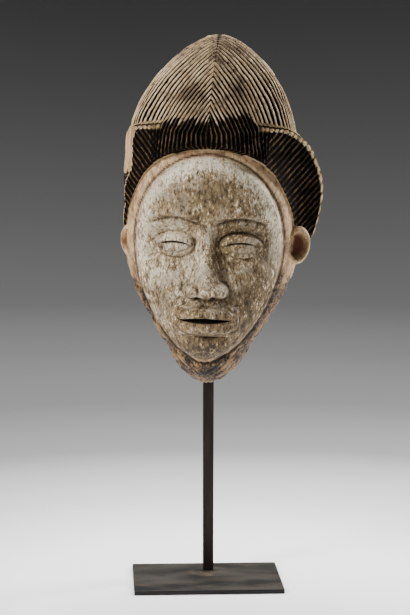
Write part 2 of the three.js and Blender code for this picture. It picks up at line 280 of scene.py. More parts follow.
def hair_points(share, step):
    """Points of the smooth coiffure on its right side, at a share of the way back and a step down a ring."""
    top_y, top_z = crest(share)
    foot = through(DOME_FOOT, share)
    edge = through(RIM_EDGE, share)
    flap = smooth(share, FLAP_START, FLAP_FULL)
    line = through(HAIR_LINE, share + UNDER_SLANT * flap)
    rounded = smooth(share, ROUND_START, ROUND_FULL)
    low = lerp(line[2], foot[2], rounded)
    rise = top_z - low
    fullness = lerp(1, DOME_FULLNESS, rounded)

    def profile(z):
        return (1 - np.clip((z - low) / rise, 0, 1) ** DOME_BULGE) ** fullness

    def across(z):
        return foot[0] * profile(z) / profile(foot[2])

    up = 1 - np.clip(step / FOOT, 0, 1) ** CROWN_CROWDING
    crown_z = lerp(foot[2], top_z, up)
    crown = np.array([across(crown_z), lerp(foot[1], top_y, up), crown_z])
    edge_point = lerp(np.array([across(edge[2]), edge[1], edge[2]]), edge, flap)
    thick = through(RIM_THICKNESS, share)[0]
    rim = lerp(edge_point, foot, 0.5 * (1 - flap)) + RIM_SLANT[:, None] * thick
    band = lerp(foot, rim, np.clip((step - FOOT) / (RIM - FOOT), 0, 1))
    lip = lerp(rim, edge_point, np.clip((step - RIM) / (EDGE - RIM), 0, 1))
    inward = np.clip((step - EDGE) / (HAIRLINE - EDGE), 0, 1)
    under = lerp(edge_point, line, inward)
    scoop = FLAP_SCOOP * inward * (1 - inward) * flap
    under = under + np.array([-scoop / 2, scoop, 0 * scoop])
    middle = np.array([0 * share, lerp(CORE_FRONT, CREST_BACK, share), 0 * share + CORE_HEIGHT])
    inside = lerp(line, middle, np.clip((step - HAIRLINE) / (MIDDLE - HAIRLINE), 0, 1))
    stretches = [step <= FOOT, step <= RIM, step <= EDGE, step <= HAIRLINE]
    return np.select(stretches, [crown, band, lip, under], inside)


def flap_hatch(points):
    """The straight parallel cuts under the flaps: 1 on their crests and 0 in their grooves."""
    across = np.abs(points[:, 0]) * math.sin(UNDER_SLOPE) - points[:, 2] * math.cos(UNDER_SLOPE)
    phase = across / UNDER_SPACING + grain(points, 18, 2) * 0.14
    return crest_wave(phase, 2)


def hair_body():
    """The coiffure with every ridge carved, and what its finish needs to know at each vertex."""
    rings = RIDGES * RINGS_PER_RIDGE
    mesh, sphere = ball("hair", 2 * COLUMN_STOPS[-1], rings)
    down = np.arccos(np.clip(sphere[:, 2], -1, 1)) / np.pi
    around = np.abs(np.arctan2(sphere[:, 1], sphere[:, 0])) / np.pi
    side = np.where(np.abs(sphere[:, 1]) < 1e-6, 0, -np.sign(sphere[:, 1]))
    share = through(RIDGE_SPREAD, down)[0]
    column = np.round(around * COLUMN_STOPS[-1], 4)
    step = np.interp(column, COLUMN_STOPS, (0, FOOT, RIM, EDGE, HAIRLINE, MIDDLE))
    points = hair_points(share, step).T
    drift = CREST_DRIFT * np.maximum(0, (points[:, 2] - FOLD_HEIGHT) / CREST_RISE)
    points[:, 0] = points[:, 0] * side + drift
    front = down < 1e-6
    back = down > 1 - 1e-6
    points[front] = FRONT_POLE
    points[back] = BACK_POLE
    move_points(mesh, points)
    normals = normals_of(mesh)

    flap = smooth(share, FLAP_START, FLAP_FULL)
    under = smooth(step, EDGE - 0.2, EDGE + 0.2) * flap
    thick = through(RIM_THICKNESS, share)[0]
    rim_start = lerp(FOOT - 0.1, RIM - 0.2, smooth(share, 0.5, 0.72))
    before_edge = 1 - smooth(step, EDGE - 0.3, EDGE + 0.1)
    above_break = smooth(points[:, 2], PALE_BREAK_Z - 4, PALE_BREAK_Z + 6)
    on_rim = smooth(step - rim_start, 0, 0.3) * before_edge * smooth(thick, 0.5, 4)
    on_rim = on_rim * np.where(side < 0, above_break, 1)
    wander = grain(points, 26, 1) * 0.24 + grain(points, 9, 15) * 0.13
    crown_phase = down * RIDGES + wander * (1 - under)
    ridge = crest_wave(crown_phase, RIDGE_ROUNDNESS)
    under_ridge = flap_hatch(points)
    close_to_parting = 1 - smooth(np.abs(points[:, 0] - drift), 1.5, 9)
    rubbed = 1.1 * smooth(points[:, 2], 282, 322) + 0.7 * close_to_parting * smooth(points[:, 2], 258, 285)
    worn = smooth(grain(points, 14, 3) + 0.6 * grain(points, 5, 4) + rubbed, 0.05, 0.85)
    strength = (1 - 0.6 * worn) * (1 - 0.82 * on_rim) * (1 - 0.5 * close_to_parting)
    strength = strength * (1 + 0.3 * grain(points, 7, 16))
    seen = (step < HAIRLINE - 0.5) & ~front & ~back
    ridge_depth = (ridge - 0.55) * RIDGE_DEPTH * strength
    hatch_depth = (under_ridge - 0.6) * UNDER_DEPTH
    depth = np.where(seen, lerp(ridge_depth, hatch_depth, under), 0)
    parting = (1 - smooth(step, 0, 0.2)) * smooth(points[:, 2], 238, 262)
    depth = depth - parting * PARTING_DEPTH * seen
    rim_line = bell((step - RIM + 0.1) / 0.18) * on_rim
    depth = depth - rim_line * 0.5
    chips = smooth(grain(points, 3.2, 5) + 0.5 * grain(points, 9, 6), 0.35, 0.7)
    depth = depth - chips * 0.7 * seen * (1 - 0.7 * under)
    move_points(mesh, points + normals * depth[:, None])

    each_ridge = np.column_stack([np.floor(crown_phase) * 0.63, side, 0 * side])
    ragged = 9 * grain(each_ridge, 1, 7) + 4 * grain(points, 7, 7)
    front_end = 0.3 + 0.06 * smooth(252 - points[:, 2], 0, 9)
    uneven = points[:, 2] + ragged + 10 * (ridge - 0.55)
    dark_front = (1 - smooth(share - front_end, 0, 0.045)) * (1 - smooth(uneven, 243, 261))
    # Painted shade: the front of the dome right of the parting, turned away from the key lamp, is pushed
    # toward the dark hair colour
    painted_shade_right = 0.58 * bell((points[:, 0] - 25) / 24, (points[:, 2] - 274) / 28) * (points[:, 1] < CREST_CENTRE)
    groove = lerp(1 - ridge, 1 - under_ridge, under)
    groove = groove * (1 + 0.9 * smooth(np.abs(points[:, 0]), 35, 70) * (1 - on_rim) * (1 - under))
    groove = groove * (1 - 0.45 * worn) * (1 - 0.45 * on_rim)
    keep_value(mesh, "groove", np.clip(groove + parting + rim_line, 0, 1))
    below_edge = smooth(step, EDGE - 0.2, EDGE + 0.2)
    below_break = (side < 0) * (1 - above_break)
    below_edge = np.maximum(below_edge, below_break * smooth(step, RIM - 0.6, RIM - 0.2))
    keep_value(mesh, "dark", np.clip(np.maximum(below_edge, dark_front + painted_shade_right), 0, 1))
    keep_value(mesh, "rim", on_rim)
    keep_value(mesh, "worn", worn)
    return mesh


def oval_radius(x, z):
    """How far out a point lies on the raised oval of the face: 1 at its edge."""
    above = z > FACE_MIDDLE
    width = np.where(above, OVAL_ABOVE, OVAL_BELOW)
    end = np.where(above, FACE_TOP, FACE_BOTTOM)
    drop = (z - FACE_MIDDLE) / (end - FACE_MIDDLE)
    return ((x / FACE_HALF_WIDTH) ** width + drop ** np.where(above, OVAL_ABOVE, OVAL_DROP)) ** (1 / width)


def slit_line(x):
    return EYE_Z + SLIT_ARCH * (1 - ((x - EYE_X) / SLIT_HALF) ** 2)


def lower_lid_line(x):
    return EYE_Z - LOWER_LID_DROP * (1 - ((x - EYE_X) / (EYE_WIDE - 1)) ** 2)


def eye_radius(x, z):
    """How far out a point lies on the eye's round: 1 at its edge."""
    return np.sqrt(((x - EYE_X) / EYE_WIDE) ** 2 + ((z - EYE_Z) / EYE_HIGH) ** 2)


def mouth_ends(x):
    """1 in the middle of the mouth and 0 at its corners."""
    return dome((x / (MOUTH_HALF + 3)) ** 2)


def brow_line(x):
    return BROW_Z - BROW_ARCH * ((x - EYE_X) / BROW_HALF) ** 2


def carved_lines(x, z):
    """Every line cut into the face, as (strength from 0 to 1, depth, how dark it is painted as shade in the
    cut).
    """
    eye = eye_radius(x, z)
    within_eye = 1 - smooth(eye, 0.9, 1.02)
    crease = bell((eye - 1.1) / 0.09) * smooth(z, EYE_Z - 1, EYE_Z + 4)
    lower_lid = bell((z - lower_lid_line(x)) / 1.3) * within_eye
    # Painted shadow: a dark band along each eye slit, cut only 0.3 mm deep
    painted_slit_shadow = bell((z - slit_line(x)) / 1.3) * (1 - smooth(np.abs(x - EYE_X), SLIT_HALF - 1, SLIT_HALF + 2))
    brow = bell((z - brow_line(x) + 1.9) / 1.5) * smooth(x, 3, 11) * (1 - smooth(x, 47, 57))
    wing = bell((np.hypot((x - 12) / 8.2, (z - NOSE_BASE - 6.5) / 8.4) - 1.06) / 0.17) * smooth(x, 12, 16)
    nostril = bell((x - 6.8) / 3.4, (z - NOSE_BASE + 0.6) / 2.0)
    ends = mouth_ends(x)
    lip_edge = bell((z - MOUTH_Z - 12.8 * ends) / 1.4) * smooth(ends, 0.15, 0.4)
    lip_foot = bell((z - MOUTH_Z + 14.8 * ends) / 1.8) * smooth(ends, 0.15, 0.4)
    oval = bell((oval_radius(x, z) - 1.038) / 0.021)
    return [(crease, 1.8, 0.55), (lower_lid, 1.3, 0.45), (painted_slit_shadow, 0.3, 1), (brow, 2.6, 0.6), (wing, 1.8, 0.6),
            (nostril, 5.0, 1), (lip_edge, 1.4, 0.6), (lip_foot, 1.9, 0.6), (oval, 2.0, 0.95)]


def eye_relief(x, z):
    """A closed lid over a round eye, its edge standing a little over the slit."""
    radius = eye_radius(x, z)
    within = 1 - smooth(radius, 0.9, 1.02)
    above = z - slit_line(x)
    lid_edge = 1.4 * within * smooth(above, -0.6, 0.9) * (1 - smooth(above, 3, 9))
    lower_rim = 0.9 * bell((z - lower_lid_line(x) - 1.8) / 1.1) * within
    return (EYE_RISE + 3) * dome(radius**2) + lid_edge + lower_rim


def brow_relief(x, z):
    """A brow with a crisp lower edge that fades upward into the forehead."""
    ends = smooth(x, 3, 11) * (1 - smooth(x, 47, 57))
    above = z - brow_line(x)
    return 3.6 * ends * smooth(above, -1.1, 0.9) * (1 - smooth(above, 1.5, 12))


def nose_relief(x, z):
    down = np.clip((NOSE_TOP - z) / (NOSE_TOP - NOSE_BASE), 0, 1)
    half = lerp(8, 12.5, down**2)
    ridge = NOSE_RISE * down**0.9 * smooth(z, NOSE_BASE - 3, NOSE_BASE + 4) * bell((x / half) ** 1.3)
    tip = 3.2 * bell(x / 8, (z - NOSE_BASE - 9) / 8)
    wing = 9 * dome(((x - 12) / 7.5) ** 2 + ((z - NOSE_BASE - 6.5) / 7.5) ** 2)
    return ridge + tip + wing


def mouth_relief(x, z):
    """Full parted lips on a soft muzzle."""
    muzzle = 5 * bell(x / 34, (z - MOUTH_Z) / 24)
    ends = mouth_ends(x)
    bow = 1.6 * bell((x - 6) / 5) - 1.2 * bell(x / 3)
    upper = 7.8 * ends * dome(((z - MOUTH_Z - 6.2) / (6.8 + bow)) ** 2)
    lower = 8.2 * ends * dome(((z - MOUTH_Z + 7.4) / 7.6) ** 2)
    philtrum = -1.1 * bell(x / 2.4, (z - 84) / 4.5) + 0.7 * bell((x - 4.6) / 2, (z - 84) / 4.5)
    return muzzle + upper + lower + philtrum


def face_relief(across, z):
    x = np.abs(across)
    radius = oval_radius(x, z)
    inside = 1 - smooth(radius, 0.94, 1.005)
    outer_lip = 0.25 * bell((radius - 1.09) / 0.03)
    socket = -8.5 * bell((x - EYE_X) / 23, (z - EYE_Z - 3) / 16)
    chin = 5 * bell(x / 17, (z - CHIN_Z) / 11) - 1.6 * bell(x / 15, (z - CHIN_Z - 12) / 3.5)
    cheek = 3.4 * bell((x - 44) / 17, (z - 110) / 20)
    fold = -0.9 * bell((x - 22 - 0.35 * (92 - z)) / 3.2, (z - 82) / 12)
    features = eye_relief(x, z) + brow_relief(x, z) + nose_relief(x, z) + mouth_relief(x, z)
    cuts = sum(strength * depth for strength, depth, _ in carved_lines(x, z))
    return outer_lip - cuts + inside * (FACE_RAISE + socket + chin + cheek + fold + features)


def bareness_and_painted_shading(x, z, radius):
    """Where the white clay is rubbed away, partly painted shade and painted light: 0 under a full coat, 1
    where little is left.
    """
    # Rubbed patches; those on the +x cheek and brow, away from the key lamp, are painted shade, and the
    # chin's is both rubbed clay and painted shade from below
    rubbed = (0.38 * bell(x / 28, (z - 182) / 19) + 0.4 * bell((x - 46) / 18, (z - 92) / 24)
              + 1.45 * bell(x / 30, (z - 38) / 15) + 0.35 * bell((x - 26) / 18, (z - 152) / 9)
              + 0.45 * bell(x / 24, (z - MOUTH_Z) / 11) + 0.4 * bell((x - 36) / 16, (z - 66) / 18)
              + 0.4 * bell((x - 12) / 8, (z - 128) / 14) + 0.35 * bell((x + 42) / 16, (z - 84) / 15)
              + 0.5 * bell((x - 50) / 8, (z - 128) / 18) + 0.4 * bell((x + 12) / 9, (z - 158) / 10))
    # Painted light: the oval's edge, the -x eyelid and cheek and the nose bridge, facing the key lamp, keep a
    # fuller white coat
    coat_and_painted_light = (0.55 * bell((radius - 0.93) / 0.1) * smooth(z, 90, 160)
              + 0.4 * bell((x + 32) / 16, (z - 146) / 9)
              + 0.35 * bell(x / 6, (z - 120) / 22) + 0.25 * bell((x + 40) / 20, (z - 112) / 16))
    return rubbed - coat_and_painted_light


def level_section(z, angle, inset, relief):
    """Right half of the head's outline: angle 0 is the middle of the front, and pi / 2 is at the back."""
    half_width, depth = through(HEAD_ROWS, z)
    wide = np.maximum(half_width - inset[0], 1)
    deep = np.maximum(depth - inset[1], 1)
    x = wide * np.abs(np.sin(angle)) ** (2 / SECTION_POWER)
    y = -deep * np.abs(np.cos(angle)) ** (2 / SECTION_POWER)
    slope = SECTION_POWER - 1
    normal = np.array([(x / wide) ** slope / wide, -((-y / deep) ** slope) / deep])
    normal = normal / np.linalg.norm(normal, axis=0)
    out = face_relief(x, z) if relief else 0
    return x + normal[0] * out, y + normal[1] * out


def head_form(name, columns, rings, low, high, inset, domed, relief):
    """The head, or the hollow inside it: carved in front and closed flat behind the back plane."""
    mesh, sphere = ball(name, columns, rings)
    up = 1 - np.arccos(np.clip(sphere[:, 2], -1, 1)) / np.pi
    level = through(RING_LEVELS, up)[0] if relief else up
    z = lerp(low, high, level)
    turned = np.arctan2(sphere[:, 1], sphere[:, 0])
    angle = np.abs(turned)
    side = np.where(np.abs(sphere[:, 1]) < 1e-6, 0, np.sign(sphere[:, 1]))
    close = (1 - np.abs(2 * up - 1) ** 5) ** 0.4 if domed else np.ones_like(up)
    part = np.clip(angle / FRONT_TURN, 0, 1) ** 1.4 * (np.pi / 2)
    x, y = level_section(z, part, inset, relief)
    wide, _ = level_section(z, np.full_like(z, np.pi / 2), inset, False)
    behind = np.clip((angle - FRONT_TURN) / (np.pi - FRONT_TURN), 0, 1)
    rear = angle > FRONT_TURN + 1e-6
    x = np.where(rear, wide * (1 - behind), x) * side * close
    y = np.where(rear, BEHIND_BACK, y * close)
    pole = (up < 1e-6) | (up > 1 - 1e-6)
    x[pole] = 0
    y[pole] = POLE_DEPTH
    move_points(mesh, np.column_stack([x, y, z]))
    return mesh


def head_values(points):
    """What the finish of face and beard needs to know: all of it follows from a point's place."""
    x, z = points[:, 0], points[:, 2]
    radius = oval_radius(np.abs(x), z)
    below_top = 1 - smooth(z + 13 * grain(points, 17, 8), BEARD_TOP_FROM, BEARD_TOP_TO)
    beard = smooth(radius, 1.01, 1.035) * below_top
    hatch = crest_wave((z * 0.9 - np.abs(x) * 0.75) / BEARD_CUT_SPACING + 0.5 * grain(points, 9, 9), 2)
    return {"oval": radius, "beard": beard, "beard_cut": (1 - hatch) * beard, "bare": bareness_and_painted_shading(x, z, radius)}


def head_body():
    mesh = head_form("head", HEAD_COLUMNS, HEAD_RINGS, 0, HEAD_TOP, (0, 0), False, True)
    points = points_of(mesh)
    normals = normals_of(mesh)
    x, z = points[:, 0], points[:, 2]
    values = head_values(points)
    radius, beard = values["oval"], values["beard"]
    notches = smooth(np.sin(z / BEARD_CUT_SPACING + 1.5 * grain(points, 15, 10)), 0.1, 0.9)
    tool_marks = 0.4 * grain(points, 9, 11) + 0.3 * grain(points, 22, 12)
    skin = smooth(radius, 1.06, 1.1) * (1 - beard)
    skin_lines = 0.3 * np.sin(radius * 150 + 2 * grain(points, 20, 13)) * skin
    beard_cut = beard * (0.75 - 1.6 * notches + 0.9 * grain(points, 4, 14)) - 1.5 * values["beard_cut"]
    out = np.where(z > HEAD_TOP - 1, 0, tool_marks + skin_lines + beard_cut)
    move_points(mesh, points + normals * out[:, None])
    # Painted shade in the carved lines, the nostrils, the slits and the oval's groove
    lines = np.max([strength * painted_darkness for strength, _, painted_darkness in carved_lines(np.abs(x), z)], axis=0)
    keep_value(mesh, "line", lines)
    for name, value in values.items():
        keep_value(mesh, name, value)
    return mesh


def ear_body(side, reach, height, wear, inward):
    """A flat shell facing forward with a sunk bowl and a rounded rim."""
    mesh, sphere = ball("ear", EAR_COLUMNS, EAR_RINGS)
    away = np.hypot(sphere[:, 0], sphere[:, 2])
    bowl = np.where(sphere[:, 1] < 0, 1 - smooth(away, 0.42, 0.8), 0)
    points = sphere * (reach, EAR_THICKNESS * wear, height)
    points[:, 1] += bowl * EAR_BOWL_DEPTH * wear
    move_points(mesh, points)
    place = Vector((side * (EAR_PLACE[0] - inward), EAR_PLACE[1], EAR_PLACE[2]))
    lean = Matrix.Rotation(side * EAR_TILT, 4, "Y") @ Matrix.Rotation(side * EAR_TURN, 4, "Z")
    mesh.transform(Matrix.Translation(place) @ lean)
    keep_value(mesh, "bowl", bowl)
    keep_value(mesh, "line", np.zeros(len(points)))
    return mesh


def lens(half_width, arch, opening, near, far, place):
    """A lens-shaped cutter with pointed ends from y = near to y = far."""
    shape = bmesh.new()
    upper = []
    lower = []
    for i in range(LENS_STEPS + 1):
        share = i / LENS_STEPS
        x = lerp(-half_width, half_width, share)
        bow = 2 * share * (1 - share)
        upper.append((x, bow * (2 * arch + opening)))
        lower.append((x, bow * (2 * arch - opening)))
    outline = upper + lower[-2:0:-1]
    ring = [shape.verts.new((x + place[0], near, z + place[1])) for x, z in outline]
    face = shape.faces.new(ring)
    made = bmesh.ops.extrude_face_region(shape, geom=[face])
    moved = [item for item in made["geom"] if isinstance(item, bmesh.types.BMVert)]
    bmesh.ops.translate(shape, verts=moved, vec=(0, far - near, 0))
    bmesh.ops.recalc_face_normals(shape, faces=shape.faces)
    mesh = bpy.data.meshes.new("lens")
    shape.to_mesh(mesh)
    shape.free()
    # Painted shade: line = 1 darkens the cut faces inside the eye slits and the mouth
    keep_value(mesh, "line", np.ones(len(mesh.vertices)))
    keep_value(mesh, "bare", np.ones(len(mesh.vertices)))
    return mesh


def block(name, low, high, cuts=1, waviness=0, lean=0):
    """A box as a cutter, with wavy sides that can lean inward in front of BREAK_DEPTH, less so lower down."""
    shape = bmesh.new()
    bmesh.ops.create_cube(shape, size=1)
    bmesh.ops.subdivide_edges(shape, edges=shape.edges, cuts=cuts, use_grid_fill=True)
    size = Vector(high) - Vector(low)
    middle = (Vector(high) + Vector(low)) / 2
    for vert in shape.verts:
        point = Vector(a * b for a, b in zip(vert.co, size)) + middle
        wave = noise.noise(point / 11) + 0.5 * noise.noise(point / 4)
        leaning = lerp(BREAK_LEAN_BELOW, 1, float(smooth(point.z, BREAK_LEAN_FROM, BREAK_LEAN_TO)))
        inward = lean * max(0, BREAK_DEPTH - point.y) * leaning
        vert.co = point + Vector((waviness * wave + inward, 0, 0))
    mesh = bpy.data.meshes.new(name)
    shape.to_mesh(mesh)
    shape.free()
    return mesh


def split_off():
    """What is split off the left flap."""
    mesh = block("split", (-130, -140, 100), (BROKEN_SIDE, 60, 300), SPLIT_CUTS, SPLIT_WAVINESS, BREAK_LEAN)
    points = points_of(mesh)
    keep_value(mesh, "groove", 0.5 * (1 - flap_hatch(points)))
    keep_value(mesh, "dark", np.ones(len(points)))
    return mesh


def above_dark(mesh):
    """Which faces of the split are pale wood: below a ragged line they are as dark as the flap."""
    centres = np.empty(len(mesh.polygons) * 3, np.float32)
    mesh.polygons.foreach_get("center", centres)
    centres = centres.reshape(-1, 3)
    return centres[:, 2] + 9 * grain(centres, 9, 17) > PALE_BREAK_Z


def apply_boolean(body, cutter, operation):
    cut = body.modifiers.new("cut", "BOOLEAN")
    cut.operation = operation
    cut.solver = "MANIFOLD"
    cut.object = cutter
    bpy.context.view_layer.update()
    result = bpy.data.meshes.new_from_object(body.evaluated_get(bpy.context.evaluated_depsgraph_get()))
    body.modifiers.clear()
    body.data = result
    bpy.data.objects.remove(cutter)


class Value:
    """A number or colour that varies over a surface: one output of a shader node."""

    def __init__(self, socket):
        self.socket = socket

    def math(self, operation, first, second):
        tree = self.socket.id_data
        made = tree.nodes.new("ShaderNodeMath")
        made.operation = operation
        for slot, value in zip(made.inputs, (first, second)):
            feed(tree, slot, value)
        return Value(made.outputs[0])

    def __add__(self, other):
        return self.math("ADD", self, other)

    def __sub__(self, other):
        return self.math("SUBTRACT", self, other)

    def __rsub__(self, other):
        return self.math("SUBTRACT", other, self)

    def __mul__(self, other):
        return self.math("MULTIPLY", self, other)

    __radd__ = __add__
    __rmul__ = __mul__


def feed(tree, slot, value):
    """Links a varying value to a socket, or sets a constant on it."""
    if isinstance(value, Value):
        tree.links.new(value.socket, slot)
    elif slot.type == "RGBA" and len(value) == 3:
        slot.default_value = (*value, 1)
    else:
        slot.default_value = value


def tint(red, green, blue):
    """A screen colour from 0 to 255 as the linear colour that a shader takes."""
    screen = [channel / 255 for channel in (red, green, blue)]
    return tuple(c / 12.92 if c <= 0.04045 else ((c + 0.055) / 1.055) ** 2.4 for c in screen)


# Colours as seen on a screen: each of the two woods has a dark, a light and a stain
HAIR_BLACK = tint(12, 8, 6)
UNDER_BROWN = tint(98, 78, 54)
CREST_BROWN = tint(144, 119, 88)
CREST_PALE = tint(228, 204, 166)
CREST_STAIN = tint(74, 58, 42)
RIM_PALE = tint(200, 174, 132)
KAOLIN_WHITE = tint(242, 229, 204)
KAOLIN_GREY = tint(150, 130, 98)
RUBBED_TAN = tint(150, 125, 88)
RUBBED_DARK = tint(58, 47, 34)
SKIN_LIGHT = tint(228, 194, 150)
SKIN_DARK = tint(122, 93, 66)
SKIN_RED = tint(150, 98, 72)
BEARD_LIGHT = tint(160, 126, 86)
BEARD_DARK = tint(38, 28, 20)
EAR_RED = tint(100, 52, 36)
FRESH_WOOD = (tint(150, 116, 78), tint(214, 184, 140), tint(104, 80, 56))
OLD_WOOD = (tint(84, 60, 40), tint(146, 112, 78), tint(52, 37, 26))
BAR_BLACK, BAR_BROWN = tint(13, 8, 6), tint(36, 25, 20)
PLATE_BLACK, PLATE_GREY, PLATE_GREEN = tint(5, 4, 4), tint(46, 40, 32), tint(40, 41, 36)
PLATE_RUST, PLATE_SCUFF, PLATE_SCRATCH = tint(62, 46, 34), tint(120, 102, 82), tint(100, 92, 80)
PLATE_EDGE = tint(18, 15, 13)

# Studio floor and wall, and their tone at each share of the way outward and up: pale paper and grey wall,
# with painted light falloff, white under the mask, darker outward and lighter again toward the wall
FLOOR_RADIUS, SWEEP, WALL_HEIGHT = 2.4, 0.7, 3.0
SWEEP_BENDS, SWEEP_STEPS = 12, 96
PAPER_AND_FALLOFF_TONES = [(share, tint(grey, grey, grey)) for share, grey in (
    (0.0, 255), (0.05, 252), (0.1, 200), (0.175, 126), (0.27, 106), (0.41, 119), (0.61, 150), (0.82, 118),
    (0.88, 106), (0.94, 94))]

# Lamps, all aimed at the mask but the last: name, place, target, size, power
MASK_MIDDLE = (0, 0, 0.36)
LAMPS = [
    ("key", (-1.15, -0.85, 0.95), MASK_MIDDLE, (0.4, 0.7), 33),
    ("fill", (1.0, -1.4, 0.6), MASK_MIDDLE, (0.9, 1.0), 2.4),
    ("edge", (0.95, 0.4, 0.8), MASK_MIDDLE, (0.3, 0.7), 22),
    ("floor", (0, 0.75, 1.6), (0, 0.15, 0), (1.8, 1.2), 62),
]
WORLD_COLOUR, WORLD_STRENGTH = (1, 0.97, 0.93, 1), 0.15

# Camera: its place from the plate's middle, its height over the floor, and its angles
CAMERA_ACROSS, CAMERA_BACK, CAMERA_HEIGHT = -0.102, -1.833, 0.482
CAMERA_TURN, CAMERA_TILT, CAMERA_ROLL = math.radians(-3.12), math.radians(90 - 6.71), math.radians(0.10)
SENSOR_HEIGHT = 24
VIEW_ANGLE = math.radians(18)


class Finish:
    """One procedural material and the short names for the nodes that it is made of."""

    def __init__(self, name):
        self.material = bpy.data.materials.new(name)
        self.material.use_nodes = True
        self.tree = self.material.node_tree
        self.shader = self.tree.nodes["Principled BSDF"]
        self.place = self.node("ShaderNodeTexCoord", out="Object")

    def node(self, kind, settings=None, out=0, **sockets):
        made = self.tree.nodes.new(kind)
        for name, value in (settings or {}).items():
            if name == "stops":
                self.fill_ramp(made.color_ramp, value)
            else:
                setattr(made, name, value)
        for name, value in sockets.items():
            wanted = (name, name.replace("_", " "))
            slot = next(s for s in made.inputs if s.identifier in wanted or s.name in wanted)
            feed(self.tree, slot, value)
        return Value(made.outputs[out])

    @staticmethod
    def fill_ramp(ramp, stops):
        while len(ramp.elements) < len(stops):
            ramp.elements.new(1)
        for element, (position, colour) in zip(ramp.elements, stops):
            element.position = position
            element.color = (*colour, 1)

    def stored(self, name):
        return self.node("ShaderNodeAttribute", {"attribute_name": name}, out="Fac")

    def stretched(self, scale, turn=(0, 0, 0)):
        return self.node("ShaderNodeMapping", Vector=self.place, Scale=scale, Rotation=turn)

    def cloud(self, size, detail=4.0, roughness=0.6, place=None, distortion=0.0):
        """Soft noise from 0 to 1 with patches of this size in metres."""
        return self.node("ShaderNodeTexNoise", Vector=place or self.place, Scale=1 / size, Detail=detail,
                         Roughness=roughness, Distortion=distortion)

    def between(self, value, low, high):
        """0 below low and 1 above high, smooth in the middle."""
        return self.node("ShaderNodeMapRange", {"interpolation_type": "SMOOTHSTEP"}, Value=value,
                         From_Min=low, From_Max=high, To_Min=0.0, To_Max=1.0)

    def blend(self, first, second, share):
        return self.node("ShaderNodeMix", {"data_type": "RGBA"}, out=2, Factor_Float=share, A_Color=first,
                         B_Color=second)

    def finish(self, colour, roughness, relief, depth, **constants):
        """Feeds the shader: varying colour and roughness, and relief in metres as bump."""
        slots = self.shader.inputs
        feed(self.tree, slots["Base Color"], colour)
        feed(self.tree, slots["Roughness"], roughness)
        bumped = self.node("ShaderNodeBump", Height=relief, Distance=depth, Strength=1.0)
        feed(self.tree, slots["Normal"], bumped)
        for name, value in constants.items():
            slots[name.replace("_", " ")].default_value = value
        return self.material


def wood_finish(name, dark, light, stain):
    """Wood with upright fibres: pale where it has split, and brown inside and behind."""
    paint = Finish(name)
    fibres = paint.cloud(0.004, 5.0, 0.6, paint.stretched((1, 1, 0.09)))
    patches = paint.cloud(0.016, 6.0, 0.66, paint.stretched((1, 1, 0.5)))
    base = paint.blend(dark, light, paint.between(fibres, 0.3, 0.7))
    colour = paint.blend(base, stain, paint.between(patches, 0.47, 0.66) * 0.75)
    relief = fibres * 0.7 + paint.cloud(0.0012) * 0.3
    return paint.finish(colour, 0.72 + fibres * 0.15, relief, 0.0009, Specular_IOR_Level=0.3)


def hair_finish():
    """Ridged hair: rubbed pale crests, dark grooves, and nearly black below the fold and under the flaps."""
    paint = Finish("ridged_hair")
    groove = paint.stored("groove")
    rim = paint.stored("rim")
    speckle = paint.cloud(0.0024, 5.0, 0.75)
    patches = paint.cloud(0.014, 6.0, 0.68)
    wide = paint.cloud(0.05, 2.0, 0.5)
    top = paint.blend(CREST_BROWN, CREST_PALE, paint.between(speckle * 0.55 + patches * 0.45, 0.38, 0.6))
    stained = paint.between(wide * 0.4 + patches * 0.4 + speckle * 0.2, 0.5, 0.62) * 0.85
    top = paint.blend(top, CREST_STAIN, stained)
    worn = paint.stored("worn")
    top = paint.blend(top, CREST_STAIN, worn * paint.between(patches, 0.35, 0.6) * 0.85)
    top = paint.blend(top, HAIR_BLACK, worn * paint.between(speckle, 0.5, 0.6) * 0.85)
    top = paint.blend(top, HAIR_BLACK, paint.between(groove + (speckle - 0.5) * 0.5, 0.2, 0.5))
    shade = paint.blend(UNDER_BROWN, HAIR_BLACK, paint.between(groove + (speckle - 0.5) * 0.6, 0.0, 0.2))
    shade = paint.blend(shade, HAIR_BLACK, paint.between(patches, 0.4, 0.58) * 0.8)
    # The stored dark value also holds painted shade on the dome right of the parting
    colour = paint.blend(top, shade, paint.between(paint.stored("dark") + (patches - 0.5) * 0.5, 0.35, 0.7))
    edge = paint.blend(CREST_BROWN, RIM_PALE, paint.between(speckle, 0.44, 0.64))
    edge = paint.blend(edge, CREST_STAIN, paint.between(patches, 0.48, 0.62) * 0.8)
    edge = paint.blend(edge, HAIR_BLACK, paint.between(groove + (speckle - 0.5) * 0.5, 0.35, 0.6) * 0.85)
    colour = paint.blend(colour, edge, rim * paint.between(patches, 0.33, 0.58))
    relief = speckle * 0.6 + paint.cloud(0.0009) * 0.4
    return paint.finish(colour, 0.8 + speckle * 0.15, relief, 0.001, Specular_IOR_Level=0.03)


